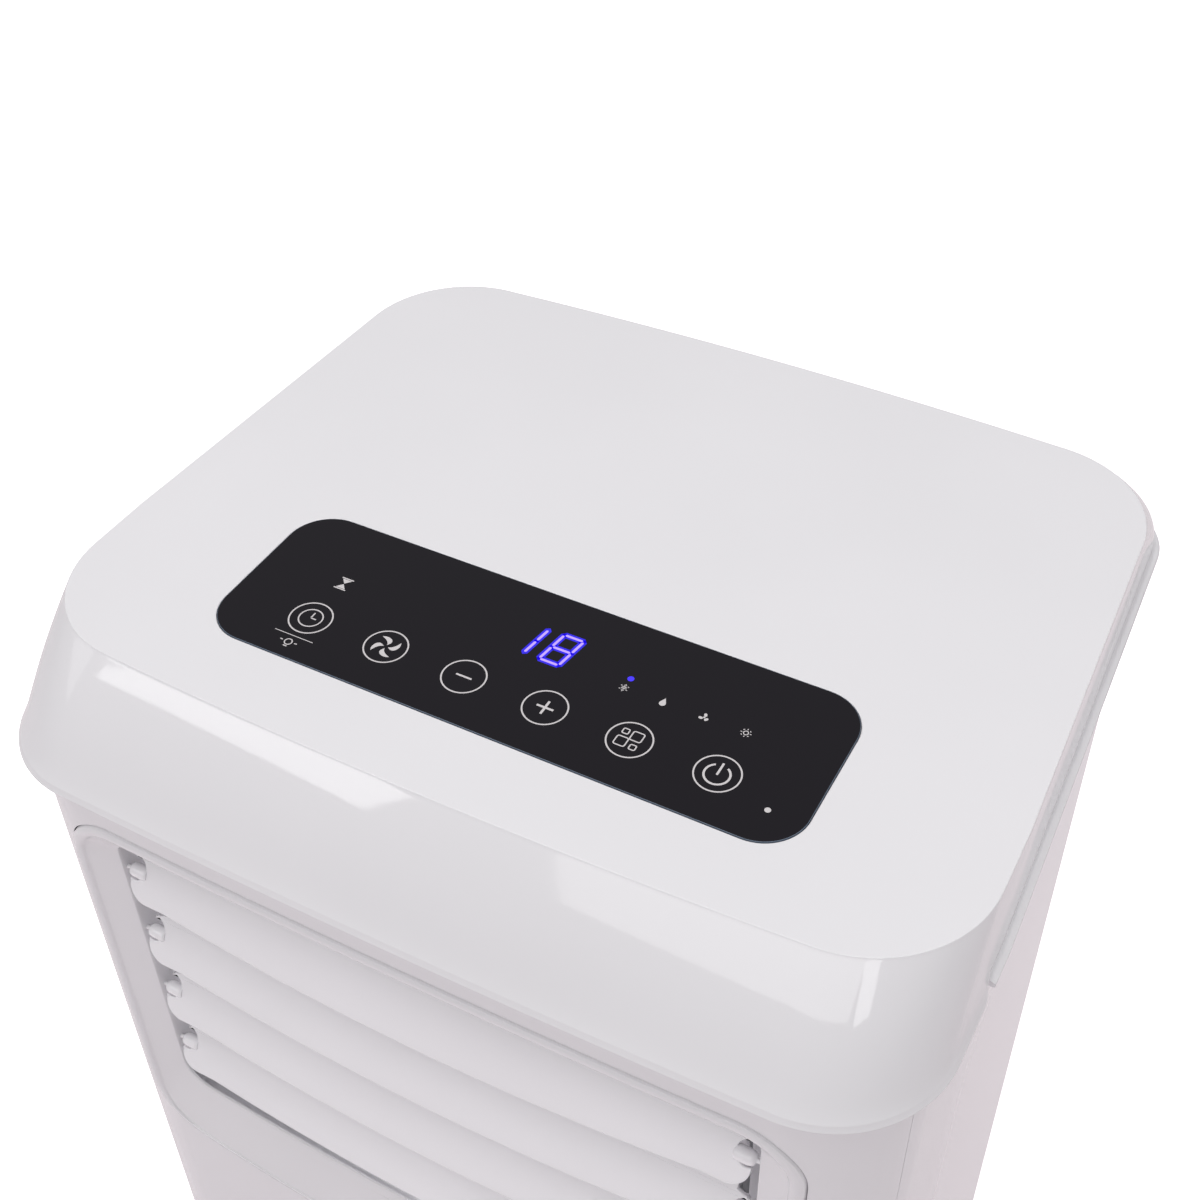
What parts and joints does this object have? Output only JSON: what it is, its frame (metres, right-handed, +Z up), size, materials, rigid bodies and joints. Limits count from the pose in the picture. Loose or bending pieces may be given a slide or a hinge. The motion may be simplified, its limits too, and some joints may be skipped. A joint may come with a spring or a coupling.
{
  "type": "portable air conditioner",
  "caption": "Tall white portable air conditioner on castors, with a motorised louver outlet in front, touch panel on top, rear filter grilles and an exhaust collar.",
  "frame": {"origin": "middle of the footprint, on the floor under the wheels", "axes": "+Z up, -Y out of the front with the louvers, +X to the right as seen from the front"},
  "size_m": [0.35, 0.3499, 0.7],
  "materials": {
    "shell_white": "gloss",
    "louver_white": "gloss",
    "panel_glass": "polished",
    "board_green": "satin",
    "display_black": "satin",
    "spring_steel": "bright",
    "motor_metal": "satin",
    "inner_white": "matte",
    "vane_grey": "matte",
    "filter_mesh": "matte",
    "seal_black": "matte",
    "castor_grey": "satin",
    "wheel_grey": "satin",
    "compressor_black": "gloss",
    "copper_pipe": "bright",
    "coil_fins": "bright",
    "box_steel": "satin"
  },
  "bodies": {
    "unit": {"top_cover": "shell_white", "front_panel": "shell_white", "louver_bezel": "shell_white", "rear_housing": "shell_white", "left_grip": "shell_white", "right_grip": "shell_white", "exhaust_collar": "shell_white", "base_pan": "shell_white", "control_glass": "panel_glass", "touch_board": "board_green", "display_module": "display_black", "touch_springs": "spring_steel", "housing_screws": "spring_steel", "swing_motor": "motor_metal", "condenser_motor": "motor_metal", "evaporator_motor": "motor_metal", "splash_motor": "motor_metal", "run_capacitor": "motor_metal", "condenser_scroll": "inner_white", "evaporator_scroll": "inner_white", "mid_tray": "inner_white", "float_switch": "inner_white", "cord_gland": "seal_black", "compressor_feet": "seal_black", "compressor": "compressor_black", "accumulator": "compressor_black", "reversing_valve": "copper_pipe", "refrigerant_pipes": "copper_pipe", "condenser_coil": "coil_fins", "evaporator_coil": "coil_fins", "electrical_box": "box_steel"},
    "louver_1": {"louver_1": "louver_white"},
    "louver_2": {"louver_2": "louver_white"},
    "louver_3": {"louver_3": "louver_white"},
    "louver_4": {"louver_4": "louver_white"},
    "louver_link": {"louver_link": "louver_white"},
    "louver_crank": {"louver_crank": "louver_white"},
    "air_vane_1": {"air_vane_1": "vane_grey"},
    "air_vane_2": {"air_vane_2": "vane_grey"},
    "air_vane_3": {"air_vane_3": "vane_grey"},
    "air_vane_4": {"air_vane_4": "vane_grey"},
    "air_vane_5": {"air_vane_5": "vane_grey"},
    "vane_link": {"vane_link": "vane_grey"},
    "evaporator_fan": {"evaporator_fan": "inner_white"},
    "condenser_fan": {"condenser_fan": "inner_white"},
    "splash_wheel": {"splash_wheel": "inner_white"},
    "upper_drain_plug": {"upper_drain_plug": "seal_black"},
    "lower_drain_plug": {"lower_drain_plug": "seal_black"},
    "upper_grille": {"upper_grille": "shell_white", "upper_filter": "filter_mesh"},
    "lower_grille": {"lower_grille": "shell_white", "lower_filter": "filter_mesh"},
    "castor_fork_1": {"castor_fork_1": "castor_grey"},
    "castor_wheel_1": {"castor_wheel_1": "wheel_grey"},
    "castor_fork_2": {"castor_fork_2": "castor_grey"},
    "castor_wheel_2": {"castor_wheel_2": "wheel_grey"},
    "castor_fork_3": {"castor_fork_3": "castor_grey"},
    "castor_wheel_3": {"castor_wheel_3": "wheel_grey"},
    "castor_fork_4": {"castor_fork_4": "castor_grey"},
    "castor_wheel_4": {"castor_wheel_4": "wheel_grey"}
  },
  "joints": [
    {"name": "louver_1_tilt", "type": "hinge", "parent": "unit", "child": "louver_1", "pos_m": [0, -0.1584, 0.6085], "axis": [-1, 0, 0], "range_deg": [-20, 62]},
    {"name": "louver_2_tilt", "type": "hinge", "parent": "unit", "child": "louver_2", "pos_m": [0, -0.1584, 0.57226], "axis": [-1, 0, 0], "range_deg": [-20, 62]},
    {"name": "louver_3_tilt", "type": "hinge", "parent": "unit", "child": "louver_3", "pos_m": [0, -0.1584, 0.53602], "axis": [-1, 0, 0], "range_deg": [-20, 62]},
    {"name": "louver_4_tilt", "type": "hinge", "parent": "unit", "child": "louver_4", "pos_m": [0, -0.1584, 0.49978], "axis": [-1, 0, 0], "range_deg": [-20, 62]},
    {"name": "louver_link_swing", "type": "hinge", "parent": "louver_1", "child": "louver_link", "pos_m": [-0.1353, -0.1474, 0.6026], "axis": [-1, 0, 0], "range_deg": [-62, 20]},
    {"name": "louver_crank_turn", "type": "hinge", "parent": "unit", "child": "louver_crank", "pos_m": [-0.1384, -0.132, 0.554], "axis": [-1, 0, 0], "range_deg": [-20, 62]},
    {"name": "air_vane_1_turn", "type": "hinge", "parent": "unit", "child": "air_vane_1", "pos_m": [-0.104, -0.112, 0.55], "axis": [0, 0, 1], "range_deg": [-30, 30]},
    {"name": "air_vane_2_turn", "type": "hinge", "parent": "unit", "child": "air_vane_2", "pos_m": [-0.052, -0.112, 0.55], "axis": [0, 0, 1], "range_deg": [-30, 30]},
    {"name": "air_vane_3_turn", "type": "hinge", "parent": "unit", "child": "air_vane_3", "pos_m": [0, -0.112, 0.55], "axis": [0, 0, 1], "range_deg": [-30, 30]},
    {"name": "air_vane_4_turn", "type": "hinge", "parent": "unit", "child": "air_vane_4", "pos_m": [0.052, -0.112, 0.55], "axis": [0, 0, 1], "range_deg": [-30, 30]},
    {"name": "air_vane_5_turn", "type": "hinge", "parent": "unit", "child": "air_vane_5", "pos_m": [0.104, -0.112, 0.55], "axis": [0, 0, 1], "range_deg": [-30, 30]},
    {"name": "vane_link_swing", "type": "hinge", "parent": "air_vane_1", "child": "vane_link", "pos_m": [-0.104, -0.1, 0.4828], "axis": [0, 0, 1], "range_deg": [-30, 30]},
    {"name": "evaporator_fan_spin", "type": "hinge", "parent": "unit", "child": "evaporator_fan", "pos_m": [0, 0.02, 0.545], "axis": [1, 0, 0], "continuous": true},
    {"name": "condenser_fan_spin", "type": "hinge", "parent": "unit", "child": "condenser_fan", "pos_m": [0.03, 0.06, 0.165], "axis": [0, 1, 0], "continuous": true},
    {"name": "splash_wheel_spin", "type": "hinge", "parent": "unit", "child": "splash_wheel", "pos_m": [-0.1, 0.066, 0.078], "axis": [0, 1, 0], "continuous": true},
    {"name": "upper_grille_pull", "type": "slide", "parent": "unit", "child": "upper_grille", "axis": [0, 1, 0], "range_m": [0, 0.05]},
    {"name": "upper_drain_plug_pull", "type": "slide", "parent": "unit", "child": "upper_drain_plug", "axis": [0, 1, 0], "range_m": [0, 0.02]},
    {"name": "lower_grille_pull", "type": "slide", "parent": "unit", "child": "lower_grille", "axis": [0, 1, 0], "range_m": [0, 0.05]},
    {"name": "lower_drain_plug_pull", "type": "slide", "parent": "unit", "child": "lower_drain_plug", "axis": [0, 1, 0], "range_m": [0, 0.02]},
    {"name": "castor_1_swivel", "type": "hinge", "parent": "unit", "child": "castor_fork_1", "pos_m": [-0.112, -0.105, 0.05], "axis": [0, 0, 1], "continuous": true},
    {"name": "castor_1_roll", "type": "hinge", "parent": "castor_fork_1", "child": "castor_wheel_1", "pos_m": [-0.112, -0.091, 0.02], "axis": [1, 0, 0], "continuous": true},
    {"name": "castor_2_swivel", "type": "hinge", "parent": "unit", "child": "castor_fork_2", "pos_m": [0.112, -0.105, 0.05], "axis": [0, 0, 1], "continuous": true},
    {"name": "castor_2_roll", "type": "hinge", "parent": "castor_fork_2", "child": "castor_wheel_2", "pos_m": [0.112, -0.091, 0.02], "axis": [1, 0, 0], "continuous": true},
    {"name": "castor_3_swivel", "type": "hinge", "parent": "unit", "child": "castor_fork_3", "pos_m": [-0.108, 0.088, 0.05], "axis": [0, 0, 1], "continuous": true},
    {"name": "castor_3_roll", "type": "hinge", "parent": "castor_fork_3", "child": "castor_wheel_3", "pos_m": [-0.108, 0.102, 0.02], "axis": [1, 0, 0], "continuous": true},
    {"name": "castor_4_swivel", "type": "hinge", "parent": "unit", "child": "castor_fork_4", "pos_m": [0.108, 0.088, 0.05], "axis": [0, 0, 1], "continuous": true},
    {"name": "castor_4_roll", "type": "hinge", "parent": "castor_fork_4", "child": "castor_wheel_4", "pos_m": [0.108, 0.102, 0.02], "axis": [1, 0, 0], "continuous": true}
  ],
  "couplings": [
    {"joint": "louver_2_tilt", "follows": "louver_1_tilt", "ratio": 1},
    {"joint": "louver_3_tilt", "follows": "louver_1_tilt", "ratio": 1},
    {"joint": "louver_4_tilt", "follows": "louver_1_tilt", "ratio": 1},
    {"joint": "louver_link_swing", "follows": "louver_1_tilt", "ratio": -1},
    {"joint": "louver_crank_turn", "follows": "louver_1_tilt", "ratio": 1},
    {"joint": "air_vane_2_turn", "follows": "air_vane_1_turn", "ratio": 1},
    {"joint": "air_vane_3_turn", "follows": "air_vane_1_turn", "ratio": 1},
    {"joint": "air_vane_4_turn", "follows": "air_vane_1_turn", "ratio": 1},
    {"joint": "air_vane_5_turn", "follows": "air_vane_1_turn", "ratio": 1},
    {"joint": "vane_link_swing", "follows": "air_vane_1_turn", "ratio": -1}
  ]
}
